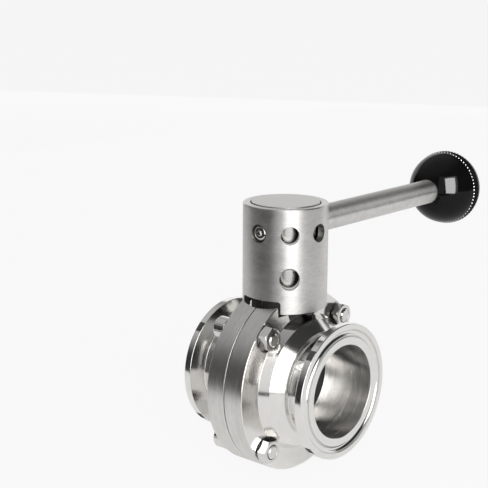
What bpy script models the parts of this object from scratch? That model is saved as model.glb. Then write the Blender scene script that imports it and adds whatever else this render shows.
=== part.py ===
"""A sanitary butterfly valve for 1.5 inch tube: clamp ferrules, a bolted body, a lift-and-turn lever.

The origin is where the pipe's axis crosses the stem's axis. +X runs along the pipe to the front ferrule,
+Y along the lever when the valve is shut, and +Z up the stem. Lengths are in metres.
"""

from math import acos, asin, cos, degrees, pi, radians, sin, sqrt

import bmesh
import bpy
from mathutils import Matrix, Vector

MM = 0.001
GAP = 0.3 * MM  # between pieces that touch

# Pipe and ferrules
BORE_R = 17.4 * MM
TUBE_R = 19.05 * MM
FACE_X = 27.85 * MM
FERRULE_R = 25.25 * MM
FERRULE_RIM = 2.85 * MM
FERRULE_TAPER = 1.8 * MM
GASKET_R = 21.7 * MM
GASKET_HALF_WIDTH = 1.4 * MM

# Body halves
RIM_R = 34.2 * MM
RIM_X = 8.24 * MM
RIM_CHAMFER = 0.5 * MM
FACE_INNER_X = 9.0 * MM
SHOULDER_FOOT_R = 25.9 * MM
SHOULDER_TOP_R = 24.0 * MM
SHOULDER_TOP_X = 12.6 * MM
SHOULDER_END_R = 20.4 * MM
SHOULDER_END_X = 16.7 * MM
TUBE_START_X = 17.35 * MM
NECK_R = 12.4 * MM
NECK_HALF = 8.2 * MM  # the neck is flat at the front and the rear
NECK_TOP = 36.0 * MM
TRACK_R = 16.5 * MM
TRACK_FLOOR = 27.3 * MM
SEAT_R = 22.0 * MM
SEAT_HALF = 6.2 * MM

# Fasteners: M5
BOLT_CIRCLE = 30.0 * MM
BOLT_R = 2.5 * MM
BOLT_HOLE_R = 2.8 * MM
SPOT_R = 5.1 * MM
SPOT_X = 7.9 * MM
HEAD_R = 4.25 * MM
HEAD_H = 5.0 * MM
BOLT_SOCKET = 4.0 * MM
NUT_FLATS = 8.0 * MM
NUT_H = 4.0 * MM
BOLT_END_X = 12.7 * MM
NUT_TURNS = {"upper_near": 3, "lower_near": 22, "upper_far": 12, "lower_far": 40}

# Stem and disc
DISC_R = 17.1 * MM
STEM_R = 5.0 * MM
STEM_BORE_R = 5.3 * MM
STEM_BOTTOM = -29.5 * MM
STEM_SHOULDER = 37.0 * MM
STEM_TOP = 54.7 * MM
SQUARE = 7.0 * MM
BUSH_R = 7.4 * MM
UPPER_BUSH = (26.0 * MM, 35.4 * MM)
LOWER_BUSH = (-30.2 * MM, -23.2 * MM)
SEAL_Z = 24.4 * MM
SEAL_R = 6.4 * MM
SEAL_WIRE_R = 1.05 * MM

# Handle
SLEEVE_R = 15.75 * MM
SLEEVE_BORE_R = 13.0 * MM
SLEEVE_TOP = 66.8 * MM
SLEEVE_BOTTOM = 28.2 * MM
SLOT_TOP = 32.9 * MM
SLOT_HALF = 8.65 * MM
CAP_R = 12.65 * MM
CAP_TOP = 67.1 * MM
CAP_T = 3.0 * MM
RING_Z = 57.3 * MM
RING_ANGLES = (-90, -45, 0, 45, 135, 180)
RING_HOLE_R = 3.35 * MM
LOW_Z = 41.3 * MM
LOW_HOLE_R = 3.65 * MM
LOW_SINK_R = 4.15 * MM
LOW_ANGLES = (-45, 135)
CORE_R = 11.0 * MM
CORE_BOTTOM = 37.2 * MM
CORE_FLOOR = 42.0 * MM
CORE_TOP = 63.8 * MM
CORE_BORE_R = 7.6 * MM
SPRING_R = 6.6 * MM
SPRING_WIRE_R = 0.55 * MM
SPRING_TURNS = 4
SMALL_SOCKET = 3.0 * MM
WASHER_R = 7.2 * MM
WASHER_T = 1.0 * MM
RETAINER_HEAD_R = 4.2 * MM
RETAINER_HEAD_H = 3.0 * MM
RETAINER_DEPTH = 10.0 * MM

# Lever
ROD_R = 5.0 * MM
ROD_START = CORE_R + GAP
ROD_END = 97.6 * MM
STUB_R = 4.0 * MM
STUB_HOLE_R = 4.3 * MM
STUB_INNER = 7.9 * MM
STUB_OUTER = 108.6 * MM
SET_SCREW_R = 2.9 * MM
SET_SCREW_END = 15.0 * MM
SET_SOCKET = 2.0 * MM
KNOB_Y = 110.8 * MM
KNOB_R = 15.5 * MM
KNOB_BAND_R = 15.75 * MM
KNOB_BAND_HALF = 2.2 * MM
KNOB_FAR = 12.5 * MM
INSERT_R = 6.2 * MM
INSERT = (98.2 * MM, 109.3 * MM)

# Facets round a turned shape
BIG = 60
MEDIUM = 44
SMALL = 28
TINY = 16

PAST = 50 * MM  # beyond the body on every side, for cutters
CLEAR = 1 * MM  # how far a cutter or a joined piece runs past the face that it meets

AXES = {"X": Vector((1, 0, 0)), "Y": Vector((0, 1, 0)), "Z": Vector((0, 0, 1))}
LEVER_UP = Matrix.Translation((0, 0, RING_Z))


def clear_scene():
    for obj in list(bpy.data.objects):
        bpy.data.objects.remove(obj, do_unlink=True)


def material(name, colour, roughness, metallic):
    made = bpy.data.materials.new(name)
    made.use_nodes = True
    shader = made.node_tree.nodes["Principled BSDF"]
    shader.inputs["Base Color"].default_value = (*colour, 1.0)
    shader.inputs["Roughness"].default_value = roughness
    shader.inputs["Metallic"].default_value = metallic
    return made


def finished(name, mesh_data, look):
    """An object from a bmesh, shaded smooth with sharp edges kept."""
    bmesh.ops.remove_doubles(mesh_data, verts=mesh_data.verts, dist=0.001 * MM)
    bmesh.ops.recalc_face_normals(mesh_data, faces=mesh_data.faces)
    mesh = bpy.data.meshes.new(name)
    mesh_data.to_mesh(mesh)
    mesh_data.free()
    mesh.shade_smooth()
    mesh.set_sharp_from_angle(angle=radians(35))
    obj = bpy.data.objects.new(name, mesh)
    bpy.context.scene.collection.objects.link(obj)
    if look:
        mesh.materials.append(look)
    return obj


def turned(profile, axis, steps):
    """A bmesh turned about an axis through the origin. The profile is a closed list of (along, radius)."""
    made = bmesh.new()
    along = AXES[axis]
    out = AXES["Z"] if axis != "Z" else AXES["X"]
    ring = [made.verts.new(along * a + out * r) for a, r in profile]
    edges = [made.edges.new((ring[i], ring[(i + 1) % len(ring)])) for i in range(len(ring))]
    bmesh.ops.spin(made, geom=ring + edges, cent=(0, 0, 0), axis=along, angle=2 * pi, steps=steps)
    bmesh.ops.remove_doubles(made, verts=made.verts, dist=0.001 * MM)
    return made


def solid_of_turn(name, profile, axis, steps, look):
    """A turned solid that reaches its own axis: the profile is the open outline from axis to axis."""
    made = bmesh.new()
    along = AXES[axis]
    out = AXES["Z"] if axis != "Z" else AXES["X"]
    line = [made.verts.new(along * a + out * r) for a, r in profile]
    edges = [made.edges.new(pair) for pair in zip(line, line[1:])]
    bmesh.ops.spin(made, geom=line + edges, cent=(0, 0, 0), axis=along, angle=2 * pi, steps=steps)
    return finished(name, made, look)


def ring_of_turn(name, profile, axis, steps, look):
    return finished(name, turned(profile, axis, steps), look)


def rod_between(name, start, end, radius, steps, look=None, end_radius=None, turn=0.0):
    """A cylinder, cone or prism from one point to another."""
    start, end = Vector(start), Vector(end)
    made = bmesh.new()
    bmesh.ops.create_cone(
        made,
        cap_ends=True,
        segments=steps,
        radius1=radius,
        radius2=radius if end_radius is None else end_radius,
        depth=(end - start).length,
    )
    spin = Matrix.Rotation(turn, 4, "Z")
    aim = (end - start).to_track_quat("Z", "Y").to_matrix().to_4x4()
    made.transform(Matrix.Translation((start + end) / 2) @ aim @ spin)
    return finished(name, made, look)


def box(name, low, high, look=None, bevel=0.0, bevel_axis=None):
    """A block, with the edges along one axis rounded if asked."""
    low, high = Vector(low), Vector(high)
    made = bmesh.new()
    bmesh.ops.create_cube(made, size=1.0)
    made.transform(Matrix.Translation((low + high) / 2) @ Matrix.Diagonal((*(high - low), 1.0)))
    if bevel:
        along = AXES[bevel_axis]
        chosen = [
            edge
            for edge in made.edges
            if abs((edge.verts[0].co - edge.verts[1].co).normalized().dot(along)) > 0.99
        ]
        bmesh.ops.bevel(made, geom=chosen, offset=bevel, segments=4, profile=0.5, affect="EDGES")
    return finished(name, made, look)


def combine(target, other, operation):
    """Applies one Boolean at once and removes the helper."""
    modifier = target.modifiers.new("combine", "BOOLEAN")
    modifier.object = other
    modifier.operation = operation
    modifier.solver = "EXACT"
    bpy.context.view_layer.update()
    graph = bpy.context.evaluated_depsgraph_get()
    result = bpy.data.meshes.new_from_object(target.evaluated_get(graph))
    target.modifiers.remove(modifier)
    old = target.data
    target.data = result
    result.name = target.name
    bpy.data.meshes.remove(old)
    bpy.data.objects.remove(other, do_unlink=True)
    target.data.shade_smooth()
    target.data.set_sharp_from_angle(angle=radians(35))


def cut(target, *cutters):
    for cutter in cutters:
        combine(target, cutter, "DIFFERENCE")


def arc(centre, radius, start_deg, end_deg, count):
    """Points (along, out) on an arc, both ends included."""
    points = []
    for i in range(count + 1):
        angle = radians(start_deg + (end_deg - start_deg) * i / count)
        points.append((centre[0] + radius * cos(angle), centre[1] + radius * sin(angle)))
    return points


def shade(name):
    return bpy.data.materials[name]


def make_materials():
    material("brushed_steel", (0.62, 0.61, 0.59), 0.34, 1.0)
    material("polished_steel", (0.72, 0.71, 0.69), 0.12, 1.0)
    material("bolt_steel", (0.60, 0.60, 0.59), 0.25, 1.0)
    material("spring_steel", (0.48, 0.48, 0.48), 0.35, 1.0)
    material("seat_rubber", (0.03, 0.03, 0.03), 0.6, 0.0)
    material("bush_plastic", (0.85, 0.85, 0.82), 0.45, 0.0)
    material("knob_plastic", (0.01, 0.01, 0.01), 0.12, 0.0)
    material("insert_brass", (0.75, 0.58, 0.28), 0.3, 1.0)


def body_outline():
    """Outer outline of a body half from the pipe's axis and back, as (x, radius), seam to ferrule face."""
    edge = 0.3 * MM
    groove_depth = 1.4 * MM
    outline = [
        (0.0, 0.0),
        (0.0, RIM_R),
        (RIM_X - RIM_CHAMFER, RIM_R),
        (RIM_X, RIM_R - RIM_CHAMFER),
        (FACE_INNER_X, SHOULDER_FOOT_R + edge),
        (FACE_INNER_X + edge, SHOULDER_FOOT_R),
        (SHOULDER_TOP_X - edge, SHOULDER_TOP_R + edge / 2),
        (SHOULDER_TOP_X + edge, SHOULDER_TOP_R - edge),
        (SHOULDER_END_X - edge, SHOULDER_END_R + edge),
        (SHOULDER_END_X, SHOULDER_END_R - edge),
        (TUBE_START_X, TUBE_R),
        (FACE_X - FERRULE_RIM - FERRULE_TAPER, TUBE_R),
        (FACE_X - FERRULE_RIM, FERRULE_R - 2 * edge),
        (FACE_X - FERRULE_RIM + edge, FERRULE_R),
        (FACE_X - edge, FERRULE_R),
        (FACE_X, FERRULE_R - edge),
        (FACE_X, GASKET_R + GASKET_HALF_WIDTH),
        (FACE_X - 0.8 * groove_depth, GASKET_R + 0.75 * GASKET_HALF_WIDTH),
        (FACE_X - groove_depth, GASKET_R),
        (FACE_X - 0.8 * groove_depth, GASKET_R - 0.75 * GASKET_HALF_WIDTH),
        (FACE_X, GASKET_R - GASKET_HALF_WIDTH),
        (FACE_X, 0.0),
    ]
    return outline


def bolt_places():
    """The four bolts as (name, y, z), near being the -Y side."""
    reach = BOLT_CIRCLE * sqrt(0.5)
    return [
        ("upper_near", -reach, reach),
        ("lower_near", -reach, -reach),
        ("upper_far", reach, reach),
        ("lower_far", reach, -reach),
    ]


def make_body_half(name, side):
    """One half of the body. side is +1 for the front and -1 for the rear."""
    seam = side * GAP / 2
    outline = [(side * x, r) for x, r in body_outline()]
    half = solid_of_turn(name, outline, "X", BIG, shade("polished_steel"))
    neck = rod_between("neck", (0, 0, BORE_R), (0, 0, NECK_TOP), NECK_R, MEDIUM)
    flats = box("flats", (-NECK_HALF, -PAST, 0), (NECK_HALF, PAST, PAST))
    combine(neck, flats, "INTERSECT")
    combine(half, neck, "UNION")
    bore = [
        (-PAST, 0.0),
        (-PAST, BORE_R),
        (-SEAT_HALF - GAP, BORE_R),
        (-SEAT_HALF - GAP, SEAT_R + GAP),
        (SEAT_HALF + GAP, SEAT_R + GAP),
        (SEAT_HALF + GAP, BORE_R),
        (PAST, BORE_R),
        (PAST, 0.0),
    ]
    track = [
        (TRACK_FLOOR, NECK_R),
        (PAST, NECK_R),
        (PAST, TRACK_R),
        (TRACK_FLOOR, TRACK_R),
    ]
    pocket_r = BUSH_R + GAP
    cut(
        half,
        box("far_side", (min(seam, -side * PAST), -PAST, -PAST), (max(seam, -side * PAST), PAST, PAST)),
        solid_of_turn("bore", bore, "X", MEDIUM, None),
        ring_of_turn("track", track, "Z", MEDIUM, None),
        rod_between("stem_bore", (0, 0, 0), (0, 0, PAST), STEM_BORE_R, SMALL),
        rod_between("upper_pocket", (0, 0, 0), (0, 0, UPPER_BUSH[1] + GAP), pocket_r, SMALL),
        rod_between("lower_pocket", (0, 0, LOWER_BUSH[0] - GAP), (0, 0, 0), pocket_r, SMALL),
    )
    for _, y, z in bolt_places():
        cut(
            half,
            rod_between("hole", (-PAST, y, z), (PAST, y, z), BOLT_HOLE_R, TINY),
            rod_between("spot", (side * SPOT_X, y, z), (side * FACE_X / 2, y, z), SPOT_R, SMALL),
        )


def make_seat():
    """The rubber seat: a flanged ring with the stem's two holes through it."""
    lip = 0.8 * MM
    profile = [
        (-SEAT_HALF, BORE_R + lip),
        (-SEAT_HALF + lip, BORE_R),
        (SEAT_HALF - lip, BORE_R),
        (SEAT_HALF, BORE_R + lip),
        (SEAT_HALF, SEAT_R),
        (-SEAT_HALF, SEAT_R),
    ]
    seat = ring_of_turn("seat_ring", profile, "X", MEDIUM, shade("seat_rubber"))
    cut(seat, rod_between("stem_hole", (0, 0, -PAST), (0, 0, PAST), STEM_BORE_R, SMALL))


def make_disc():
    """The disc, its hub and its stem in one piece, with a square drive on top."""
    rim_half = 1.2 * MM
    edge = 90 - degrees(asin(rim_half / DISC_R))
    front = [(3.2 * MM, 0.0), (3.0 * MM, 8.0 * MM), (1.8 * MM, 15.0 * MM)]
    rear = [(-x, r) for x, r in reversed(front)]
    rim = arc((0, 0), DISC_R, edge, 180 - edge, 4)
    disc = solid_of_turn("valve_disc", front + rim + rear, "X", MEDIUM, shade("polished_steel"))
    shaft = rod_between("shaft", (0, 0, STEM_BOTTOM), (0, 0, STEM_SHOULDER), STEM_R, SMALL)
    combine(disc, shaft, "UNION")
    half = SQUARE / 2
    drive = box("drive", (-half, -half, STEM_SHOULDER - CLEAR), (half, half, STEM_TOP))
    combine(disc, drive, "UNION")
    thread_low = STEM_TOP - RETAINER_DEPTH - CLEAR
    cut(disc, rod_between("thread", (0, 0, thread_low), (0, 0, STEM_TOP + CLEAR), BOLT_HOLE_R, TINY))


def make_bushes():
    for name, (low, high) in (("upper_bush", UPPER_BUSH), ("lower_bush", LOWER_BUSH)):
        profile = [(low, STEM_BORE_R), (high, STEM_BORE_R), (high, BUSH_R), (low, BUSH_R)]
        ring_of_turn(name, profile, "Z", SMALL, shade("bush_plastic"))
    low = NECK_TOP + GAP
    high = CORE_BOTTOM - GAP
    washer = [(low, STEM_BORE_R), (high, STEM_BORE_R), (high, NECK_R), (low, NECK_R)]
    ring_of_turn("thrust_washer", washer, "Z", MEDIUM, shade("bush_plastic"))
    seal = arc((SEAL_Z, SEAL_R), SEAL_WIRE_R, 0, 315, 7)
    ring_of_turn("stem_seal", seal, "Z", SMALL, shade("seat_rubber"))


def hexagon(name, start, end, flats, look=None, turn_deg=0.0):
    """A hexagonal prism of a given width across its flats."""
    return rod_between(name, start, end, flats / 2 / cos(pi / 6), 6, look, turn=radians(turn_deg))


def make_fasteners():
    steel = shade("bolt_steel")
    head_x = -SPOT_X - GAP
    floor_x = head_x - HEAD_H / 2
    nut_x = SPOT_X + GAP
    for place, y, z in bolt_places():
        bolt = rod_between("bolt_" + place, (head_x - CLEAR, y, z), (BOLT_END_X, y, z), BOLT_R, TINY, steel)
        head = rod_between("head", (head_x, y, z), (head_x - HEAD_H, y, z), HEAD_R, SMALL)
        combine(bolt, head, "UNION")
        cut(bolt, hexagon("socket", (floor_x, y, z), (floor_x - HEAD_H, y, z), BOLT_SOCKET))
        nut_end = (nut_x + NUT_H, y, z)
        nut = hexagon("nut_" + place, (nut_x, y, z), nut_end, NUT_FLATS, steel, NUT_TURNS[place])
        cut(nut, rod_between("thread", (0, y, z), (FACE_X, y, z), BOLT_HOLE_R, TINY))


def radial(name, angle_deg, height, start, end, radius, steps, look=None, end_radius=None):
    """A cylinder or cone that points out from the stem's axis."""
    angle = radians(angle_deg)
    out = Vector((cos(angle), sin(angle), 0))
    rise = Vector((0, 0, height))
    return rod_between(name, out * start + rise, out * end + rise, radius, steps, look, end_radius)


def countersink(name, angle_deg, height, depth):
    """A 45 degree cone that opens a low hole's mouth by the given depth."""
    start, end = SLEEVE_R - 2 * depth, SLEEVE_R + depth
    return radial(name, angle_deg, height, start, end, LOW_HOLE_R - depth, SMALL, None, LOW_SINK_R + depth)


def make_sleeve():
    profile = [
        (SLEEVE_BOTTOM, SLEEVE_BORE_R),
        (SLEEVE_TOP, SLEEVE_BORE_R),
        (SLEEVE_TOP, SLEEVE_R - 0.4 * MM),
        (SLEEVE_TOP - 0.4 * MM, SLEEVE_R),
        (SLEEVE_BOTTOM, SLEEVE_R),
    ]
    sleeve = ring_of_turn("handle_sleeve", profile, "Z", BIG, shade("brushed_steel"))
    corner = 1.1 * MM
    slot_low = SLEEVE_BOTTOM - 2 * corner
    cut(sleeve, box("slot", (-SLOT_HALF, -PAST, slot_low), (SLOT_HALF, PAST, SLOT_TOP), None, corner, "Y"))
    inside = SLEEVE_BORE_R - 3 * CLEAR
    outside = SLEEVE_R + 3 * CLEAR
    cut(sleeve, radial("rod_hole", 90, RING_Z, inside, outside, ROD_R + GAP, SMALL))
    for angle in RING_ANGLES:
        cut(sleeve, radial("hole", angle, RING_Z, inside, outside, RING_HOLE_R, SMALL))
    sink = LOW_SINK_R - LOW_HOLE_R
    for angle in LOW_ANGLES:
        cut(
            sleeve,
            radial("hole", angle, LOW_Z, inside, outside, LOW_HOLE_R, SMALL),
            countersink("sink", angle, LOW_Z, sink),
        )


def make_cap():
    outline = [
        (CAP_TOP - CAP_T, 0.0),
        (CAP_TOP - CAP_T, CAP_R),
        (CAP_TOP - 0.2 * MM, CAP_R),
        (CAP_TOP, CAP_R - 0.2 * MM),
        (CAP_TOP, 0.0),
    ]
    solid_of_turn("handle_cap", outline, "Z", MEDIUM, shade("brushed_steel"))


def make_core():
    outline = [(CORE_BOTTOM, 0.0), (CORE_BOTTOM, CORE_R), (CORE_TOP, CORE_R), (CORE_TOP, 0.0)]
    core = solid_of_turn("handle_core", outline, "Z", MEDIUM, shade("polished_steel"))
    half = SQUARE / 2 + GAP
    inside = CORE_BORE_R - 2 * CLEAR
    outside = CORE_R + CLEAR
    cut(
        core,
        rod_between("spring_bore", (0, 0, CORE_FLOOR), (0, 0, CORE_TOP + CLEAR), CORE_BORE_R, SMALL),
        box("square_hole", (-half, -half, CORE_BOTTOM - CLEAR), (half, half, CORE_FLOOR + CLEAR)),
        radial("rod_hole", 90, RING_Z, inside, outside, STUB_HOLE_R, TINY),
        radial("screw_hole", -90, RING_Z, inside, outside, SET_SCREW_R + GAP, TINY),
    )


def make_spring():
    low = CORE_FLOOR + GAP + SPRING_WIRE_R
    high = STEM_TOP - SPRING_WIRE_R
    per_turn = 14
    count = SPRING_TURNS * per_turn
    curve = bpy.data.curves.new("lift_spring", "CURVE")
    curve.dimensions = "3D"
    curve.bevel_depth = SPRING_WIRE_R
    curve.bevel_resolution = 1
    curve.use_fill_caps = True
    spline = curve.splines.new("POLY")
    spline.points.add(count)
    for i, point in enumerate(spline.points):
        angle = 2 * pi * i / per_turn
        height = low + (high - low) * i / count
        point.co = (SPRING_R * cos(angle), SPRING_R * sin(angle), height, 1.0)
    spring = bpy.data.objects.new("lift_spring", curve)
    bpy.context.scene.collection.objects.link(spring)
    curve.materials.append(shade("spring_steel"))


def make_retainer():
    """The washer over the spring and the screw that holds it to the stem's top."""
    low = STEM_TOP + GAP
    high = low + WASHER_T
    washer = [(low, BOLT_HOLE_R), (high, BOLT_HOLE_R), (high, WASHER_R), (low, WASHER_R)]
    steel = shade("bolt_steel")
    ring_of_turn("retaining_washer", washer, "Z", SMALL, steel)
    head_low = high + GAP
    head_high = head_low + RETAINER_HEAD_H
    tip = STEM_TOP - RETAINER_DEPTH
    screw = rod_between("retaining_screw", (0, 0, tip), (0, 0, head_low + CLEAR), BOLT_R, TINY, steel)
    head = rod_between("head", (0, 0, head_low), (0, 0, head_high), RETAINER_HEAD_R, SMALL)
    combine(screw, head, "UNION")
    socket_floor = (head_low + head_high) / 2
    cut(screw, hexagon("socket", (0, 0, socket_floor), (0, 0, head_high + CLEAR), SMALL_SOCKET))


def make_lever():
    chamfer = 0.5 * MM
    outline = [
        (STUB_INNER, 0.0),
        (STUB_INNER, STUB_R),
        (ROD_START, STUB_R),
        (ROD_START, ROD_R),
        (ROD_END, ROD_R),
        (ROD_END, STUB_R),
        (STUB_OUTER - chamfer, STUB_R),
        (STUB_OUTER, STUB_R - chamfer),
        (STUB_OUTER, 0.0),
    ]
    rod = solid_of_turn("lever_rod", outline, "Y", SMALL, shade("brushed_steel"))
    rod.data.transform(LEVER_UP)
    steel = shade("bolt_steel")
    screw = radial("set_screw", -90, RING_Z, STUB_INNER, SET_SCREW_END, SET_SCREW_R, TINY, steel)
    floor_y = SET_SCREW_END - SET_SOCKET
    mouth = SET_SCREW_END + CLEAR
    cut(screw, hexagon("socket", (0, -floor_y, RING_Z), (0, -mouth, RING_Z), SET_SOCKET))


def knob_outline():
    """The knob's outline from its rod side round to its far end, as (y, radius)."""
    mouth_r = ROD_R + GAP
    mouth_y = -sqrt(KNOB_R**2 - mouth_r**2)
    start = acos(mouth_y / KNOB_R)
    stop = acos(-KNOB_BAND_HALF / KNOB_R)
    outline = arc((KNOB_Y, 0), KNOB_R, degrees(start), degrees(stop), 6)
    outline.append((KNOB_Y - KNOB_BAND_HALF, KNOB_BAND_R))
    outline.append((KNOB_Y + KNOB_BAND_HALF, KNOB_BAND_R))
    dome_start = acos(KNOB_BAND_HALF / KNOB_FAR)
    for i in range(7):
        angle = dome_start * (1 - i / 6)
        outline.append((KNOB_Y + KNOB_FAR * cos(angle), KNOB_R * sin(angle)))
    return outline


def make_knob():
    insert_low, insert_high = INSERT
    inner = [
        (insert_high + GAP, 0.0),
        (insert_high + GAP, INSERT_R + GAP),
        (insert_low - GAP, INSERT_R + GAP),
        (insert_low - GAP, ROD_R + GAP),
    ]
    knob = solid_of_turn("ball_knob", inner + knob_outline(), "Y", MEDIUM, shade("knob_plastic"))
    knob.data.transform(LEVER_UP)
    profile = [
        (insert_low, STUB_HOLE_R),
        (insert_high, STUB_HOLE_R),
        (insert_high, INSERT_R),
        (insert_low, INSERT_R),
    ]
    insert = ring_of_turn("knob_insert", profile, "Y", SMALL, shade("insert_brass"))
    insert.data.transform(LEVER_UP)


def main():
    clear_scene()
    make_materials()
    make_body_half("body_front", 1)
    make_body_half("body_rear", -1)
    make_seat()
    make_disc()
    make_bushes()
    make_fasteners()
    make_sleeve()
    make_cap()
    make_core()
    make_spring()
    make_retainer()
    make_lever()
    make_knob()


main()
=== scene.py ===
"""The looks of a sanitary butterfly valve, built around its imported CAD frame.

+X runs along the pipe to the front ferrule, +Y along the lever and +Z up the stem.
Shapes are written in millimetres, and become metres when a mesh is made.
"""

from math import acos, atan2, cos, pi, radians, sin, sqrt, tan

import bmesh
import bpy
from mathutils import Matrix, Vector

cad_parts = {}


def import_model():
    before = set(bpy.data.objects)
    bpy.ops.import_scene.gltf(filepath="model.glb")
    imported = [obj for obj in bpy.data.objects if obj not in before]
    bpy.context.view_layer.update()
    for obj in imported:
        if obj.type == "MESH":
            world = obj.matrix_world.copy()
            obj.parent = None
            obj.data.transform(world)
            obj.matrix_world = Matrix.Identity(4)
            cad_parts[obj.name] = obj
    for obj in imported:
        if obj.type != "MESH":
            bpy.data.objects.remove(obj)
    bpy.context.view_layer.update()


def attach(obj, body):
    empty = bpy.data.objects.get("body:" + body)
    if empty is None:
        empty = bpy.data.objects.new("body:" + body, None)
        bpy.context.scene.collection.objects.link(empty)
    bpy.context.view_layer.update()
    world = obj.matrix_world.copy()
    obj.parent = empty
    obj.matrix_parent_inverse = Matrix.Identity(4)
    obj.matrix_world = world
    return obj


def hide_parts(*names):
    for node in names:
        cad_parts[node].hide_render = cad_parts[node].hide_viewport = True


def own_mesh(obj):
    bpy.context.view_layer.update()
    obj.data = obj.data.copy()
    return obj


MM = 0.001
GAP = 0.3  # between pieces that touch
PAST = 50  # beyond every side, for cutters

# Pipe and ferrules
BORE_R = 17.4
TUBE_R = 19.05
FACE_X = 27.85
FERRULE_R = 25.25
FERRULE_BACK_X = 25.0
GASKET_R = 21.7
GASKET_HALF_WIDTH = 1.4

# Body halves
RIM_R = 34.2
RIM_X = 8.24
FACE_INNER_X = 9.0
SHOULDER_FOOT_R = 25.9
SHOULDER_TOP = (12.65, 24.0)
SHOULDER_END = (16.8, 20.35)
TUBE_START_X = 17.35
TAPER_START_X = 23.1
NECK_R = 12.4
NECK_HALF = 8.2
NECK_TOP = 36.0
TRACK_FLOOR = 27.3
TRACK_R = 16.5
POCKET_BOTTOM = -30.5
POCKET_TOP = 35.7
POCKET_R = 7.7
SEAT_R = 22.0
SEAT_HALF = 6.2
SEAT_BORE_R = BORE_R + 0.15

# Fasteners: M5. For each bolt, its side across and up, and the angle its nut has come to rest at.
BOLT_REACH = 30.0 * sqrt(0.5)
BOLTS = {
    "upper_near": (-1, 1, 3),
    "lower_near": (-1, -1, 22),
    "upper_far": (1, 1, 12),
    "lower_far": (1, -1, 40),
}
BOLT_R = 2.5
BOLT_HOLE_R = 2.8
BOLT_END_X = 12.7
SPOT_X = 7.9
SPOT_R = 5.1
HEAD_R = 4.25
HEAD_X = -SPOT_X - GAP
HEAD_TOP_X = HEAD_X - 5
HEAD_SOCKET = 4.0
NUT_H = 4
NUT_FLATS = 8.0
NUT_ROUND_R = 4.66
NUT_FACE_R = 3.85

# Stem, disc and spring
STEM_R = 5.0
STEM_BOTTOM = -29.5
STEM_SHOULDER = 37
STEM_TOP = 54.7
SQUARE_HALF = 3.5
SPRING_R = 6.6
SPRING_WIRE_R = 0.55
SPRING_TURNS = 4

# Handle
SLEEVE_R = 15.75
SLEEVE_BORE_R = 13.0
SLEEVE_TOP = 66.8
SLEEVE_BOTTOM = 28.2
SLOT_HALF = 8.65
SLOT_TOP = 32.9
RING_Z = 57.3
RING_ANGLES = (-90, -45, 0, 45, 135, 180)
RING_HOLE_R = 3.35
LOW_Z = 41.3
LOW_ANGLES = (-45, 135)
LOW_HOLE_R = 3.65
CAP_R = 12.65
CAP_BOTTOM = 64.1
CAP_TOP = 67.1
CORE_R = 11.0
CORE_BOTTOM = 37.2
CORE_FLOOR = 42.0
CORE_TOP = 63.8
CORE_BORE_R = 7.6
SCREW_R = 2.9
SCREW_END = -15.0
STUB_R = 4.0
STUB_INNER = 7.9
STUB_OUTER = 108.6
ROD_R = 5.0
ROD_START = CORE_R + GAP
ROD_END = 97.6

# Knob and the knurled band round it
KNOB_Y = 110.8
KNOB_R = 15.5
KNOB_FAR = 12.5
BAND_HALF = 2.2
BAND_R = 15.75
BAND_CHAMFER = 0.5
BAND_FOOT_R = 15.0
TEETH = 66
TOOTH_RISE = 1.2
TOOTH_DEPTH = 0.5
# Where the painted highlight on the knurl points starts, and its share of each tooth
GLINTS_FROM = 1.5
GLINT_SHARE = 0.22


# ---------------------------------------------------------------- shapes


def rounded(corners, steps=5):
    """An outline from corners (along, radius, fillet), each rounded to its fillet."""
    outline = []
    for i, (along, radius, fillet) in enumerate(corners):
        corner = Vector((along, radius))
        if not fillet:
            outline.append(corner)
            continue
        before = (Vector(corners[i - 1][:2]) - corner).normalized()
        after = (Vector(corners[(i + 1) % len(corners)][:2]) - corner).normalized()
        half = before.angle(after) / 2
        centre = corner + (before + after).normalized() * fillet / sin(half)
        start = corner + before * fillet / tan(half) - centre
        end = corner + after * fillet / tan(half) - centre
        first = atan2(start.y, start.x)
        sweep = (atan2(end.y, end.x) - first + pi) % (2 * pi) - pi
        for k in range(steps + 1):
            angle = first + sweep * k / steps
            outline.append(centre + Vector((cos(angle), sin(angle))) * fillet)
    return outline


def on_axis(axis, along, across, up):
    """A point in metres from a place along an axis and two places square to it."""
    places = {"X": (along, across, up), "Y": (across, along, up), "Z": (across, up, along)}
    return Vector(places[axis]) * MM


def finish_mesh(name, made):
    bmesh.ops.remove_doubles(made, verts=made.verts, dist=0.0005 * MM)
    bmesh.ops.recalc_face_normals(made, faces=made.faces)
    mesh = bpy.data.meshes.new(name)
    made.to_mesh(mesh)
    made.free()
    mesh.shade_smooth()
    mesh.set_sharp_from_angle(angle=radians(38))
    piece = bpy.data.objects.new(name, mesh)
    bpy.context.scene.collection.objects.link(piece)
    return piece


def turned(name, outline, axis, steps=128, ring=True, wave=None):
    """A turned piece. A ring's outline is closed; a solid's starts and ends on the axis."""
    made = bmesh.new()
    rows = []
    for k in range(steps):
        angle = 2 * pi * k / steps
        row = []
        for along, radius in outline:
            if wave:
                radius += wave(along, angle)
            spot = on_axis(axis, along, radius * cos(angle), radius * sin(angle))
            row.append(made.verts.new(spot))
        rows.append(row)
    count = len(outline)
    for k in range(steps):
        here, there = rows[k], rows[(k + 1) % steps]
        for i in range(count if ring else count - 1):
            j = (i + 1) % count
            made.faces.new((here[i], here[j], there[j], there[i]))
    return finish_mesh(name, made)


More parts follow.
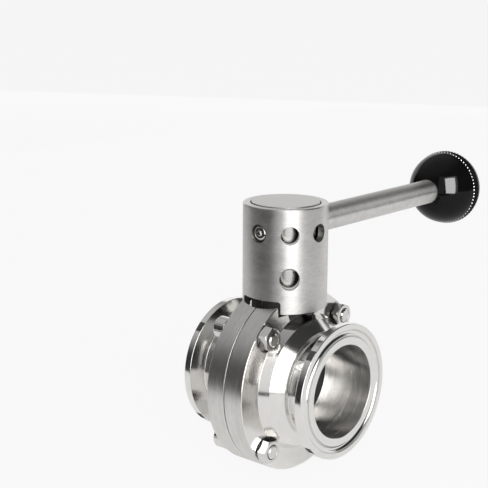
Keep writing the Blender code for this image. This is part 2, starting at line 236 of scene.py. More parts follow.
def bar(name, start, end, radius, steps=48, end_radius=None, turn=0.0):
    """A cylinder, cone or prism between two points."""
    start, end = Vector(start) * MM, Vector(end) * MM
    made = bmesh.new()
    last = radius if end_radius is None else end_radius
    bmesh.ops.create_cone(
        made,
        cap_ends=True,
        segments=steps,
        radius1=radius * MM,
        radius2=last * MM,
        depth=(end - start).length,
    )
    aim = (end - start).to_track_quat("Z", "Y").to_matrix().to_4x4()
    spin = Matrix.Rotation(radians(turn), 4, "Z")
    made.transform(Matrix.Translation((start + end) / 2) @ aim @ spin)
    return finish_mesh(name, made)


def block(name, low, high, round_y=0.0):
    """A block, its edges along Y rounded if asked."""
    low, high = Vector(low) * MM, Vector(high) * MM
    made = bmesh.new()
    bmesh.ops.create_cube(made, size=1.0)
    made.transform(Matrix.Translation((low + high) / 2) @ Matrix.Diagonal((*(high - low), 1.0)))
    if round_y:
        edges = [e for e in made.edges if abs((e.verts[0].co - e.verts[1].co).y) > MM]
        width = round_y * MM
        bmesh.ops.bevel(made, geom=edges, offset=width, segments=8, profile=0.5, affect="EDGES")
    return finish_mesh(name, made)


def combine(target, others, operation="DIFFERENCE"):
    """Applies Booleans at once and removes the helpers."""
    for other in others:
        modifier = target.modifiers.new("combine", "BOOLEAN")
        modifier.object = other
        modifier.operation = operation
        modifier.solver = "EXACT"
        bpy.context.view_layer.update()
        graph = bpy.context.evaluated_depsgraph_get()
        result = bpy.data.meshes.new_from_object(target.evaluated_get(graph))
        target.modifiers.remove(modifier)
        old = target.data
        target.data = result
        bpy.data.meshes.remove(old)
        bpy.data.objects.remove(other, do_unlink=True)
    return target


def tidy_cuts(piece):
    """Merges the slivers that Booleans leave, so that bevels have clean edges to follow."""
    made = bmesh.new()
    made.from_mesh(piece.data)
    bmesh.ops.remove_doubles(made, verts=made.verts, dist=0.004 * MM)
    bmesh.ops.dissolve_degenerate(made, edges=made.edges, dist=0.002 * MM)
    made.to_mesh(piece.data)
    made.free()
    piece.data.shade_smooth()
    return piece


def soften(piece, width, steps=3):
    """Rounds every edge sharper than 35 degrees and keeps broad faces shaded true."""
    bevel = piece.modifiers.new("round", "BEVEL")
    bevel.width = width * MM
    bevel.segments = steps
    bevel.limit_method = "ANGLE"
    bevel.angle_limit = radians(35)
    bevel.use_clamp_overlap = True
    true_up(piece)
    return piece


def true_up(piece):
    normals = piece.modifiers.new("normals", "WEIGHTED_NORMAL")
    normals.weight = 80
    normals.keep_sharp = True
    return piece


def copy_of(piece, name, matrix):
    twin = bpy.data.objects.new(name, piece.data.copy())
    twin.data.transform(matrix)
    if matrix.determinant() < 0:
        twin.data.flip_normals()
    for source in piece.modifiers:
        made = twin.modifiers.new(source.name, source.type)
        for prop in source.bl_rna.properties:
            if not prop.is_readonly and prop.identifier not in ("name", "type"):
                setattr(made, prop.identifier, getattr(source, prop.identifier))
    bpy.context.scene.collection.objects.link(twin)
    return twin


def stands_for(piece, node, body, look):
    piece.name = node + "_look"
    piece.data.materials.clear()
    piece.data.materials.append(look)
    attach(piece, body)
    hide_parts(node)


# ---------------------------------------------------------------- body


def arc(centre, radius, first, last, count):
    points = []
    for k in range(count + 1):
        angle = radians(first + (last - first) * k / count)
        points.append(Vector((centre[0] + radius * cos(angle), centre[1] + radius * sin(angle))))
    return points


def body_section():
    """A body half's closed section as (x, radius), round the outside and back through the bore."""
    section = rounded(
        [
            (GAP / 2, SEAT_R + GAP, 0.1),
            (GAP / 2, RIM_R, 0.22),
            (RIM_X, RIM_R, 0.5),
            (FACE_INNER_X, SHOULDER_FOOT_R, 0.3),
            (*SHOULDER_TOP, 0.35),
            (*SHOULDER_END, 0.5),
            (TUBE_START_X, TUBE_R, 0.2),
            (TAPER_START_X, TUBE_R, 0.5),
            (FERRULE_BACK_X, FERRULE_R, 0.35),
            (FACE_X, FERRULE_R, 0.3),
            (FACE_X, GASKET_R + GASKET_HALF_WIDTH, 0),
        ]
    )
    section.pop()
    section += arc((FACE_X, GASKET_R), GASKET_HALF_WIDTH, 90, 270, 14)
    seat_x = SEAT_HALF + GAP
    land_r = GASKET_R - GASKET_HALF_WIDTH
    section += rounded([(FACE_X, land_r, 0), (FACE_X, BORE_R, 0.3), (seat_x, BORE_R, 0.1)])[1:-6]
    section += [Vector((seat_x, BORE_R)), Vector((seat_x, SEAT_R + GAP))]
    return section


def make_body():
    """The front half, and its mirror image for the rear."""
    half = turned("front", body_section(), "X", 160)
    neck = bar("neck", (0, 0, 20), (0, 0, NECK_TOP), NECK_R, 96)
    combine(neck, [block("flats", (GAP / 2, -PAST, 0), (NECK_HALF, PAST, 60))], "INTERSECT")
    combine(half, [neck], "UNION")
    track = [(TRACK_FLOOR, NECK_R), (PAST, NECK_R), (PAST, TRACK_R), (TRACK_FLOOR, TRACK_R)]
    edge, roof = SEAT_HALF + GAP, SEAT_R + GAP
    combine(
        half,
        [
            turned("track", track, "Z", 96),
            turned("groove", [(-9, 10), (edge, 10), (edge, roof), (-9, roof)], "X", 160),
            bar("stem_bore", (0, 0, -40), (0, 0, 60), STEM_R + GAP, 48),
            bar("bush_pocket", (0, 0, POCKET_BOTTOM), (0, 0, POCKET_TOP), POCKET_R, 48),
        ],
    )
    for across, up, _ in BOLTS.values():
        y, z = across * BOLT_REACH, up * BOLT_REACH
        combine(
            half,
            [
                bar("hole", (-20, y, z), (20, y, z), BOLT_HOLE_R, 40),
                bar("spot", (SPOT_X, y, z), (20, y, z), SPOT_R, 72),
            ],
        )
    tidy_cuts(half)
    soften(half, 0.16, 2)
    rear = copy_of(half, "rear", Matrix.Diagonal((-1, 1, 1, 1)))
    for piece, node in ((half, "body_front"), (rear, "body_rear")):
        stands_for(piece, node, "valve_body", LOOKS["body"])
        # Pockets, the track, the neck top and the spot face walls are painted dark: painted shade.
        finish_by_place(piece, ["satin", "bore", "inside"], body_finish_and_shade)


def body_finish_and_shade(place, facing):
    """Rims are satin and the bore has its own finish. The pockets, the track and the neck top are
    painted dark as painted shade, and the rest is polished.
    """
    x, y, z = place / MM
    radius = sqrt(y * y + z * z)
    beside_stem = sqrt(x * x + y * y)
    in_track = z > TRACK_FLOOR - 0.3 and beside_stem < TRACK_R + 0.1 and radius < RIM_R - 0.05
    # Painted shade: the track under the sleeve and the neck top are painted dark.
    if in_track or z > RIM_R:
        return "inside"
    # The walls of the spot faces are painted dark: painted shade.
    for across, up, _ in BOLTS.values():
        off = Vector((y - across * BOLT_REACH, z - up * BOLT_REACH)).length
        if off < SPOT_R + 0.1 and abs(facing.x) < 0.5 and radius < RIM_R - 1:
            return "inside"
    if abs(x) < RIM_X - 0.2 and radius > 24.5:
        return "satin"
    if radius < BORE_R + 0.1 and abs(x) > SEAT_HALF:
        return "bore"
    return None


def sleeve_painted_shade(place, facing):
    """The sleeve is brushed outside. Its bore and underside are painted dark as painted shade."""
    x, y, z = place / MM
    in_bore = sqrt(x * x + y * y) < SLEEVE_BORE_R + 0.05
    # The bore and the downward faces are painted dark: painted shade.
    return "inside" if in_bore or facing.z < -0.9 else None


def finish_by_place(piece, looks, choose):
    """Gives each face the look that its place and direction ask for, or else the piece's own."""
    for look in looks:
        piece.data.materials.append(LOOKS[look])
    for face in piece.data.polygons:
        look = choose(face.center, face.normal)
        face.material_index = looks.index(look) + 1 if look else 0


def make_seat():
    section = rounded(
        [
            (-SEAT_HALF, SEAT_R, 0.3),
            (-SEAT_HALF, SEAT_BORE_R, 0.5),
            (SEAT_HALF, SEAT_BORE_R, 0.5),
            (SEAT_HALF, SEAT_R, 0.3),
        ]
    )
    seat = turned("seat", section, "X", 128)
    combine(seat, [bar("stem_hole", (0, 0, -40), (0, 0, 40), STEM_R + GAP, 48)])
    stands_for(true_up(tidy_cuts(seat)), "seat_ring", "valve_body", LOOKS["rubber"])


def make_disc():
    """A lens-shaped disc on its stem, with a square end that drives it."""
    side = [(3.2, 0), (3.15, 5), (2.7, 10.5), (1.75, 15), (1.25, 17.0)]
    outline = side + [(0.7, 17.08), (-0.7, 17.08)] + [(-x, r) for x, r in reversed(side)]
    disc = turned("disc", outline, "X", 128, ring=False)
    stem = bar("shaft", (0, 0, STEM_BOTTOM), (0, 0, STEM_SHOULDER), STEM_R, 64)
    corner = (SQUARE_HALF, SQUARE_HALF, STEM_TOP)
    drive = block("drive", (-SQUARE_HALF, -SQUARE_HALF, STEM_SHOULDER - 1), corner)
    combine(disc, [stem, drive], "UNION")
    combine(disc, [bar("thread", (0, 0, 43.7), (0, 0, 56), 2.8, 32)])
    stands_for(soften(tidy_cuts(disc), 0.25), "valve_disc", "stem", LOOKS["disc"])


# ---------------------------------------------------------------- fasteners


def hexagon(name, start, end, flats, turn=0.0):
    return bar(name, start, end, flats / 2 / cos(pi / 6), 6, turn=turn)


def make_fasteners():
    chamfer = 0.55
    barrel = [(0, 0), (0, NUT_FACE_R), (chamfer, NUT_ROUND_R)]
    barrel += [(NUT_H - chamfer, NUT_ROUND_R), (NUT_H, NUT_FACE_R), (NUT_H, 0)]
    thread_r, mouth_r = 2.62, 3.3
    hole = [(-1, 0), (-1, mouth_r), (0.55, thread_r), (3.45, thread_r), (5, mouth_r), (5, 0)]
    profile = [
        (HEAD_TOP_X, 0, 0),
        (HEAD_TOP_X, HEAD_R, 0.6),
        (HEAD_X, HEAD_R, 0.15),
        (HEAD_X, BOLT_R, 0.1),
        (BOLT_END_X, BOLT_R, 0),
        (BOLT_END_X, 0, 0),
    ]
    outline = [(HEAD_TOP_X, 0)] + rounded(profile)[1:-2]
    outline += [(BOLT_END_X - 0.4, BOLT_R), (BOLT_END_X, 2.0), (BOLT_END_X, 0)]
    for place, (across, up, turn) in BOLTS.items():
        nut = hexagon("nut", (0, 0, 0), (NUT_H, 0, 0), NUT_FLATS, turn)
        combine(nut, [turned("barrel", barrel, "X", 96, ring=False)], "INTERSECT")
        combine(nut, [turned("hole", hole, "X", 40, ring=False)])
        shift = Vector((SPOT_X + GAP, across * BOLT_REACH, up * BOLT_REACH)) * MM
        nut.data.transform(Matrix.Translation(shift))
        stands_for(soften(tidy_cuts(nut), 0.1, 2), "nut_" + place, "valve_body", LOOKS["bolt"])

        bolt = turned("bolt", outline, "X", 144, ring=False, wave=head_grip)
        floor, past = (HEAD_X - 2.4, 0, 0), (HEAD_TOP_X - 1, 0, 0)
        combine(bolt, [hexagon("socket", floor, past, HEAD_SOCKET, turn)])
        bolt.data.transform(Matrix.Translation(Vector((0, shift.y, shift.z))))
        stands_for(soften(tidy_cuts(bolt), 0.08, 2), "bolt_" + place, "valve_body", LOOKS["bolt"])


def head_grip(along, angle):
    """Fine straight flutes on a socket head's side."""
    flutes, depth = 36, 0.09
    on_side = HEAD_TOP_X + 0.5 < along < HEAD_X - 0.2
    return -depth * (0.5 + 0.5 * cos(flutes * angle)) if on_side else 0.0


# ---------------------------------------------------------------- handle


def radial(name, degrees_round, height, start, end, radius, steps=64, end_radius=None):
    out = Vector((cos(radians(degrees_round)), sin(radians(degrees_round)), 0))
    rise = Vector((0, 0, height))
    return bar(name, out * start + rise, out * end + rise, radius, steps, end_radius)


def make_sleeve():
    section = rounded(
        [
            (SLEEVE_BOTTOM, SLEEVE_BORE_R, 0.15),
            (SLEEVE_TOP, SLEEVE_BORE_R, 0.25),
            (SLEEVE_TOP, SLEEVE_R, 0.4),
            (SLEEVE_BOTTOM, SLEEVE_R, 0.25),
        ],
        4,
    )
    sleeve = turned("sleeve", section, "Z", 160)
    inner, outer = 9, 19
    rim, past = SLEEVE_R - 1, SLEEVE_R + 0.5
    cuts = [block("slot", (-SLOT_HALF, -PAST, 20), (SLOT_HALF, PAST, SLOT_TOP), 1.1)]
    cuts.append(radial("rod_hole", 90, RING_Z, inner, outer, ROD_R + GAP))
    for angle in RING_ANGLES:
        cuts.append(radial("hole", angle, RING_Z, inner, outer, RING_HOLE_R))
    for angle in LOW_ANGLES:
        cuts.append(radial("hole", angle, LOW_Z, inner, outer, LOW_HOLE_R))
        cuts.append(radial("sink", angle, LOW_Z, rim, past, 3.15, end_radius=4.65))
    combine(sleeve, cuts)
    stands_for(soften(tidy_cuts(sleeve), 0.12, 2), "handle_sleeve", "handle", LOOKS["sleeve"])
    # The sleeve's bore and underside get the painted shade.
    finish_by_place(sleeve, ["inside"], sleeve_painted_shade)


def make_handle_inside():
    """The cap, the core that carries the lever, and the set screw that locks the lever's end."""
    low, high = CAP_BOTTOM, CAP_TOP
    outline = [(low, 0, 0), (low, CAP_R, 0.2), (high, CAP_R, 0.25), (high, 0, 0)]
    cap = turned("cap", rounded(outline), "Z", 128, ring=False)
    stands_for(true_up(cap), "handle_cap", "handle", LOOKS["cap"])

    low, high = CORE_BOTTOM, CORE_TOP
    outline = [(low, 0, 0), (low, CORE_R, 0.3), (high, CORE_R, 0.3), (high, 0, 0)]
    core = turned("core", rounded(outline), "Z", 96, ring=False)
    square = SQUARE_HALF + GAP
    combine(
        core,
        [
            bar("spring_bore", (0, 0, CORE_FLOOR), (0, 0, 70), CORE_BORE_R, 64),
            block("square", (-square, -square, 30), (square, square, CORE_FLOOR + 1)),
            radial("rod_hole", 90, RING_Z, 5, 14, STUB_R + GAP),
            radial("screw_hole", -90, RING_Z, 5, 14, SCREW_R + GAP),
        ],
    )
    stands_for(soften(tidy_cuts(core), 0.15, 2), "handle_core", "handle", LOOKS["core"])

    inner = -STUB_INNER
    outline = [(SCREW_END, 0, 0), (SCREW_END, SCREW_R, 1.2), (inner, SCREW_R, 0.3), (inner, 0, 0)]
    screw = turned("screw", rounded(outline), "Y", 64, ring=False)
    combine(screw, [hexagon("socket", (0, SCREW_END + 2, 0), (0, SCREW_END - 2, 0), 2.0, 15)])
    screw.location.z = RING_Z * MM
    stands_for(soften(tidy_cuts(screw), 0.1, 2), "set_screw", "handle", LOOKS["bolt"])


def make_spring():
    """A helix between the core's floor and the retaining washer."""
    low, high = CORE_FLOOR + GAP + SPRING_WIRE_R, STEM_TOP - SPRING_WIRE_R
    per_turn, around = 40, 12
    count = SPRING_TURNS * per_turn
    made = bmesh.new()
    rows = []
    for k in range(count + 1):
        angle = 2 * pi * k / per_turn
        out = Vector((cos(angle), sin(angle), 0))
        centre = out * SPRING_R + Vector((0, 0, low + (high - low) * k / count))
        row = []
        for a in spread(0, 2 * pi, around)[:-1]:
            side = out * cos(a) + Vector((0, 0, sin(a)))
            row.append(made.verts.new((centre + side * SPRING_WIRE_R) * MM))
        rows.append(row)
    for here, there in zip(rows, rows[1:]):
        for i in range(around):
            j = (i + 1) % around
            made.faces.new((here[i], here[j], there[j], there[i]))
    made.faces.new(rows[0])
    made.faces.new(rows[-1])
    spring = finish_mesh("spring", made)
    stands_for(spring, "lift_spring", "stem", LOOKS["spring"])
    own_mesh(spring)


def make_lever():
    outline = rounded(
        [
            (STUB_INNER, 0, 0),
            (STUB_INNER, STUB_R, 0.2),
            (ROD_START, STUB_R, 0),
            (ROD_START, ROD_R, 0.2),
            (ROD_END, ROD_R, 0.3),
            (ROD_END, STUB_R, 0),
            (STUB_OUTER, STUB_R, 0.4),
            (STUB_OUTER, 0, 0),
        ],
        4,
    )
    rod = turned("rod", outline, "Y", 96, ring=False)
    rod.location.z = RING_Z * MM
    stands_for(true_up(rod), "lever_rod", "handle", LOOKS["rod"])


def knurl(along, angle):
    """Two sets of crossed grooves round the knob's band, which leave rows of points."""
    off = along - KNOB_Y
    if abs(off) > BAND_HALF:
        return 0.0
    lean = off / TOOTH_RISE
    first = abs((TEETH * angle / (2 * pi) + lean) % 1.0 - 0.5) * 2
    second = abs((TEETH * angle / (2 * pi) - lean) % 1.0 - 0.5) * 2
    return -TOOTH_DEPTH * (1 - min(first, second))


def knurl_painted_glints(place, facing):
    """The row of points nearest the rod is painted pale: a painted highlight for the glints off
    their tips.
    """
    x, y, z = place / MM
    near = y - KNOB_Y < -GLINTS_FROM
    point = abs((TEETH * atan2(z, x) / (2 * pi)) % 1.0 - 0.5) < GLINT_SHARE
    return "painted_glints" if near and point else None


def make_knob():
    """A smooth ball and the knurled band round its middle."""
    start = acos(-sqrt(KNOB_R**2 - (ROD_R + GAP) ** 2) / KNOB_R)
    stop = acos(-BAND_HALF / KNOB_R)
    near = [(KNOB_Y + KNOB_R * cos(a), KNOB_R * sin(a)) for a in spread(start, stop, 30)]
    back = spread(acos(BAND_HALF / KNOB_FAR), 0, 30)
    far = [(KNOB_Y + KNOB_FAR * cos(a), KNOB_R * sin(a)) for a in back]
    # The insert's pocket, then the way in round the rod
    pocket = [(109.6, 0), (109.6, 6.5), (97.9, 6.5), (97.9, 5.45), (96.9, 5.3)]
    waist = [(KNOB_Y, BAND_FOOT_R + 0.1)]
    smooth = turned("smooth", pocket + near + waist + far, "Y", 128, ring=False)

    rows = 28
    band = [(KNOB_Y - BAND_HALF, BAND_FOOT_R)]
    for k in range(rows + 1):
        off = BAND_HALF * (2 * k / rows - 1)
        band.append((KNOB_Y + off, min(BAND_R, BAND_R - BAND_CHAMFER + BAND_HALF - abs(off))))
    band += [(KNOB_Y + BAND_HALF, BAND_FOOT_R)]
    grip = turned("grip", band, "Y", TEETH * 8, wave=knurl)
    for piece in (smooth, grip):
        piece.location.z = RING_Z * MM
    stands_for(smooth, "ball_knob", "handle", LOOKS["knob"])
    grip.name = "knob_grip"
    grip.data.materials.append(LOOKS["knob"])
    # The points nearest the rod are painted pale as a painted highlight.
    finish_by_place(grip, ["painted_glints"], knurl_painted_glints)
    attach(grip, "handle")
    light_only("knob_window", (smooth, grip))


def spread(first, last, count):
    return [first + (last - first) * k / count for k in range(count + 1)]


# ---------------------------------------------------------------- materials


class Nodes:
    """Adds nodes to one material and links them."""

    def __init__(self, name, colour, roughness, metallic):
        self.material = bpy.data.materials.new(name)
        self.material.use_nodes = True
        self.tree = self.material.node_tree
        self.shader = self.tree.nodes["Principled BSDF"]
        self.shader.inputs["Base Color"].default_value = (*colour, 1.0)
        self.shader.inputs["Roughness"].default_value = roughness
        self.shader.inputs["Metallic"].default_value = metallic
        self.colour = colour
        self.roughness = roughness

    def add(self, kind, **settings):
        node = self.tree.nodes.new("ShaderNode" + kind)
        for key, value in settings.items():
            setattr(node, key, value)
        return node

    def join(self, source, target):
        self.tree.links.new(source, target)

    def maths(self, operation, *values):
        node = self.add("Math", operation=operation)
        for socket, value in zip(node.inputs, values):
            if isinstance(value, (int, float)):
                socket.default_value = value
            else:
                self.join(value, socket)
        return node.outputs[0]

    def noise(self, vector, scale, detail=3.0, across=None):
        node = self.add("TexNoise", noise_dimensions="3D" if across is None else "4D")
        node.inputs["Scale"].default_value = scale
        node.inputs["Detail"].default_value = detail
        node.inputs["Roughness"].default_value = 0.6
        self.join(vector, node.inputs["Vector"])
        if across is not None:
            self.join(across, node.inputs["W"])
        return node.outputs["Fac"]

    def spread_of(self, value, low, high):
        node = self.add("MapRange")
        node.inputs["From Min"].default_value = 0.3
        node.inputs["From Max"].default_value = 0.7
        node.inputs["To Min"].default_value = low
        node.inputs["To Max"].default_value = high
        self.join(value, node.inputs["Value"])
        return node.outputs["Result"]

    def tint(self, value, low, high):
        """Base colour times a factor that the value drives from low to high."""
        mix = self.add("Mix", data_type="RGBA")
        self.join(self.spread_of(value, 0.0, 1.0), mix.inputs[0])
        mix.inputs[6].default_value = (*[c * low for c in self.colour], 1.0)
        mix.inputs[7].default_value = (*[c * high for c in self.colour], 1.0)
        self.join(mix.outputs[2], self.shader.inputs["Base Color"])

    def vary_roughness(self, value, low, high):
        result = self.spread_of(value, self.roughness * low, self.roughness * high)
        self.join(result, self.shader.inputs["Roughness"])

    def bump(self, value, strength, depth):
        node = self.add("Bump")
        node.inputs["Strength"].default_value = strength
        node.inputs["Distance"].default_value = depth * MM
        self.join(value, node.inputs["Height"])
        self.join(node.outputs[0], self.shader.inputs["Normal"])

    def round_axis(self, axis, bends):
        """A vector and a fourth place that change fast along a turned shape and slowly round it."""
        spot = self.add("TexCoord").outputs["Object"]
        split = self.add("SeparateXYZ")
        self.join(spot, split.inputs[0])
        along, u, v = {"X": (0, 1, 2), "Y": (1, 0, 2), "Z": (2, 0, 1)}[axis]
        u, v = split.outputs[u], split.outputs[v]
        squares = self.maths("ADD", self.maths("MULTIPLY", u, u), self.maths("MULTIPLY", v, v))
        radius = self.maths("MAXIMUM", self.maths("SQRT", squares), 0.0001)
        join = self.add("CombineXYZ")
        fine = 1 / MM
        self.join(self.maths("MULTIPLY", split.outputs[along], fine), join.inputs[0])
        self.join(self.maths("MULTIPLY", radius, fine), join.inputs[1])
        self.join(self.maths("MULTIPLY", self.maths("DIVIDE", u, radius), bends), join.inputs[2])
        across = self.maths("MULTIPLY", self.maths("DIVIDE", v, radius), bends)
        return join.outputs[0], across


def turned_metal(name, axis, colour, roughness, smear, grain, marks, bends=5.0):
    """Metal cut or brushed round an axis: fine grooves round it spread highlights along it."""
    made = Nodes(name, colour, roughness, 1.0)
    made.shader.inputs["Anisotropic"].default_value = smear
    made.shader.inputs["Anisotropic Rotation"].default_value = 0.25
    tangent = made.add("Tangent", direction_type="RADIAL", axis=axis)
    made.join(tangent.outputs[0], made.shader.inputs["Tangent"])
    vector, across = made.round_axis(axis, bends)
    fine = made.noise(vector, grain, 3.0, across)
    broad = made.noise(vector, grain * 0.18, 2.0, across)
    both = made.maths("ADD", made.maths("MULTIPLY", fine, 0.6), made.maths("MULTIPLY", broad, 0.4))
    made.tint(both, 1 - marks, 1 + marks * 0.6)
    made.vary_roughness(both, 0.85, 1.2)
    made.bump(fine, 0.25, 0.004 + 0.02 * marks)
    return made.material


def plain_metal(name, colour, roughness, grain, marks, edge=1.0):
    """Metal with no direction to its finish. A low edge keeps it dark at a grazing angle."""
    made = Nodes(name, colour, roughness, 1.0)
    made.shader.inputs["Specular Tint"].default_value = (edge, edge, edge, 1.0)
    spot = made.add("TexCoord").outputs["Object"]
    specks = made.noise(spot, grain / MM, 4.0)
    made.tint(specks, 1 - marks, 1 + marks * 0.5)
    made.vary_roughness(specks, 0.8, 1.25)
    made.bump(specks, 0.2, 0.01)
    return made.material


def moulded(name, colour, roughness, grain, depth, gloss=0.5):
    """Rubber or plastic, with the fine texture of its mould."""
    made = Nodes(name, colour, roughness, 0.0)
    made.shader.inputs["Specular IOR Level"].default_value = gloss
    spot = made.add("TexCoord").outputs["Object"]
    texture = made.noise(spot, grain / MM, 3.0)
    made.tint(texture, 0.85, 1.15)
    made.vary_roughness(texture, 0.8, 1.25)
    made.bump(texture, 0.3, depth)
    return made.material


LOOKS = {}


def make_looks():
    """After the colour: roughness, then for turned metal its smear, then grain per mm and marks."""
    steel = (0.66, 0.65, 0.63)
    bright = (0.86, 0.85, 0.83)
    polished = (0.78, 0.77, 0.75)
    brass = (0.75, 0.58, 0.28)
    LOOKS["satin"] = turned_metal("satin_round_pipe", "X", steel, 0.34, 0.5, 2.0, 0.2)
    LOOKS["bore"] = turned_metal("bore_round_pipe", "X", bright, 0.24, 0.8, 3.0, 0.25, 1.0)
    # Near black steel for hollows and undersides is painted shade. Its low edge tint also keeps
    # grazing reflections dark.
    shade_dark = (0.16, 0.16, 0.155)
    LOOKS["inside"] = plain_metal("inside_machined", shade_dark, 0.6, 3.0, 0.15, edge=0.25)
    LOOKS["body"] = turned_metal("polished_round_pipe", "X", polished, 0.15, 0.4, 2.0, 0.06)
    LOOKS["disc"] = turned_metal("disc_steel", "X", (0.68, 0.67, 0.65), 0.18, 0.5, 3.0, 0.05)
    LOOKS["bolt"] = plain_metal("bolt_bright", (0.7, 0.69, 0.67), 0.16, 2.0, 0.08)
    LOOKS["sleeve"] = turned_metal("sleeve_brushed", "Z", steel, 0.38, 0.45, 2.0, 0.2)
    LOOKS["cap"] = plain_metal("cap_satin", steel, 0.4, 3.0, 0.05)
    LOOKS["core"] = turned_metal("core_bright", "Z", (0.38, 0.375, 0.36), 0.28, 0.5, 3.0, 0.1)
    LOOKS["rod"] = turned_metal("rod_brushed", "Y", (0.72, 0.71, 0.69), 0.36, 0.9, 3.0, 0.25)
    LOOKS["knob"] = moulded("knob_gloss_black", (0.001, 0.001, 0.001), 0.07, 0.6, 0.004, gloss=0.15)
    # Pale knurl points: a painted highlight that stands for glints off the tips.
    LOOKS["painted_glints"] = moulded("knob_points_painted_glints", (0.16, 0.16, 0.16), 0.2, 2.0, 0.004)
    LOOKS["rubber"] = moulded("seat_black", (0.015, 0.015, 0.015), 0.5, 4.0, 0.02)
    LOOKS["white_plastic"] = moulded("bush_white", (0.8, 0.8, 0.77), 0.45, 3.0, 0.01)
    LOOKS["spring"] = plain_metal("spring_wire", (0.45, 0.45, 0.45), 0.3, 2.0, 0.1)
    LOOKS["brass"] = turned_metal("insert_turned_brass", "Y", brass, 0.25, 0.5, 3.0, 0.06)


def dress_cad():
    """The small inner pieces that keep their CAD shape get a finish."""
    looks = {
        "upper_bush": "white_plastic",
        "lower_bush": "white_plastic",
        "thrust_washer": "white_plastic",
        "stem_seal": "rubber",
        "retaining_washer": "bolt",
        "retaining_screw": "bolt",
        "knob_insert": "brass",
    }
    for node, look in looks.items():
        mesh = bpy.data.objects[node].data
        mesh.materials.clear()
        mesh.materials.append(LOOKS[look])


# ---------------------------------------------------------------- studio


def make_camera():
    """Stands to the right of the lever and above the pipe, and looks a little left of the stem."""
    azimuth, elevation, distance = radians(38.732), radians(19.173), 459.096
    place = Vector(
        (sin(azimuth) * cos(elevation), -cos(azimuth) * cos(elevation), sin(elevation))
    ) * distance * MM
    turn, tilt, roll = radians(40.748), radians(12.987), radians(0.227)
    back = Vector((sin(turn) * cos(tilt), -cos(turn) * cos(tilt), sin(tilt)))
    right = Vector((cos(turn), sin(turn), 0))
    up = back.cross(right)
    right, up = right * cos(roll) + up * sin(roll), up * cos(roll) - right * sin(roll)
    data = bpy.data.cameras.new("camera")
    data.lens = 88.90
    data.sensor_width = 36.0
    data.clip_start = 0.02
    camera = bpy.data.objects.new("camera", data)
    bpy.context.scene.collection.objects.link(camera)
    basis = Matrix((right, up, back)).transposed()
    camera.matrix_world = Matrix.Translation(place) @ basis.to_4x4()
    bpy.context.scene.camera = camera


def toward(azimuth, elevation, distance):
    a, e = radians(azimuth), radians(elevation)
    return Vector((sin(a) * cos(e), -cos(a) * cos(e), sin(e))) * distance


def softbox(name, azimuth, elevation, distance, width, height, brightness):
    """A flat light that faces the valve. Azimuth 0 is on the -Y side and 90 on the +X side."""
    data = bpy.data.lights.new(name, "AREA")
    data.shape = "RECTANGLE"
    data.size = width
    data.size_y = height
    data.energy = brightness * pi * width * height
    light = bpy.data.objects.new(name, data)
    bpy.context.scene.collection.objects.link(light)
    light.location = toward(azimuth, elevation, distance)
    light.rotation_euler = light.location.to_track_quat("Z", "Y").to_euler()
    light.visible_camera = False
    return light


def light_only(name, pieces):
    """A window that only these pieces reflect."""
    window = softbox(name, 53, 18, 0.95, 0.56, 0.9, 34.0)
    window.light_linking.receiver_collection = bpy.data.collections.new(name + "_receivers")
    for piece in pieces:
        window.light_linking.receiver_collection.objects.link(piece)


def flat_sheet(name, low, high, colour, glow):
    """A level sheet just under the valve."""
    made = bmesh.new()
    bmesh.ops.create_grid(made, x_segments=1, y_segments=1, size=0.5)
    x, y = (low[0] + high[0]) / 2, (low[1] + high[1]) / 2
    size = Matrix.Diagonal((high[0] - low[0], high[1] - low[1], 1, 1))
    made.transform(Matrix.Translation((x, y, 0)) @ size)
    sheet = finish_mesh(name, made)
    look = Nodes(name + "_look", (colour, colour, colour), 0.9, 0.0)
    look.shader.inputs["Specular IOR Level"].default_value = 0.0
    look.shader.inputs["Emission Color"].default_value = (1.0, 1.0, 1.0, 1.0)
    look.shader.inputs["Emission Strength"].default_value = glow
    sheet.data.materials.append(look.material)
    return sheet


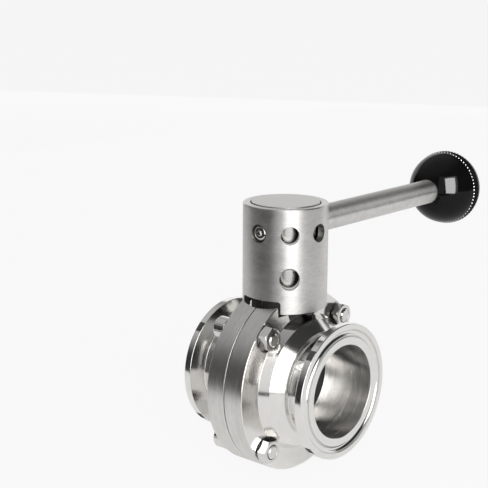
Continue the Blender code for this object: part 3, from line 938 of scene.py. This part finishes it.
def make_world():
    """A dark room with a soft glow high on the left. The camera sees it as pale as the floor."""
    world = bpy.data.worlds.new("studio")
    world.use_nodes = True
    tree = world.node_tree
    spot = tree.nodes.new("ShaderNodeTexCoord").outputs["Generated"]
    aim = tree.nodes.new("ShaderNodeVectorMath")
    aim.operation = "DOT_PRODUCT"
    aim.inputs[1].default_value = toward(-80, 63, 1)
    tree.links.new(spot, aim.inputs[0])
    rise = tree.nodes.new("ShaderNodeMapRange")
    rise.interpolation_type = "SMOOTHSTEP"
    tree.links.new(aim.outputs["Value"], rise.inputs["Value"])
    for name, value in {"From Min": 0.5, "From Max": 1.0, "To Min": 0.04, "To Max": 0.55}.items():
        rise.inputs[name].default_value = value
    seen = tree.nodes.new("ShaderNodeMath")
    seen.operation = "MULTIPLY"
    seen.inputs[1].default_value = 0.95
    camera_ray = tree.nodes.new("ShaderNodeLightPath").outputs["Is Camera Ray"]
    tree.links.new(camera_ray, seen.inputs[0])
    brighter = tree.nodes.new("ShaderNodeMath")
    brighter.operation = "MAXIMUM"
    tree.links.new(rise.outputs["Result"], brighter.inputs[0])
    tree.links.new(seen.outputs[0], brighter.inputs[1])
    background = tree.nodes["Background"]
    tree.links.new(brighter.outputs[0], background.inputs["Strength"])
    background.inputs["Color"].default_value = (1, 1, 1, 1)
    bpy.context.scene.world = world


def make_studio():
    """The floor is what the camera sees. The table is what the steel reflects and is lit by."""
    make_world()
    bpy.context.scene.view_settings.view_transform = "Standard"

    under = -(RIM_R + 0.05) * MM
    floor = flat_sheet("floor", (-12, -12), (12, 12), 0.06, 0.9)
    floor.location.z = under - 0.0001
    floor.visible_glossy = False
    floor.visible_diffuse = False
    table = flat_sheet("table", (-0.7, -0.145), (0.9, 1.0), 0.76, 0.42)
    table.location.z = under
    table.visible_camera = False
    table.visible_shadow = False

    softbox("key", 56, 19, 1.0, 0.76, 1.08, 3.6)
    softbox("front", 21, 19, 1.0, 0.36, 1.1, 0.85)
    softbox("back", -155, 14, 1.2, 3.4, 0.8, 1.0)


def main():
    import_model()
    make_camera()
    make_studio()
    make_looks()
    make_body()
    make_seat()
    make_disc()
    make_fasteners()
    make_sleeve()
    make_handle_inside()
    make_spring()
    make_lever()
    make_knob()
    dress_cad()


main()
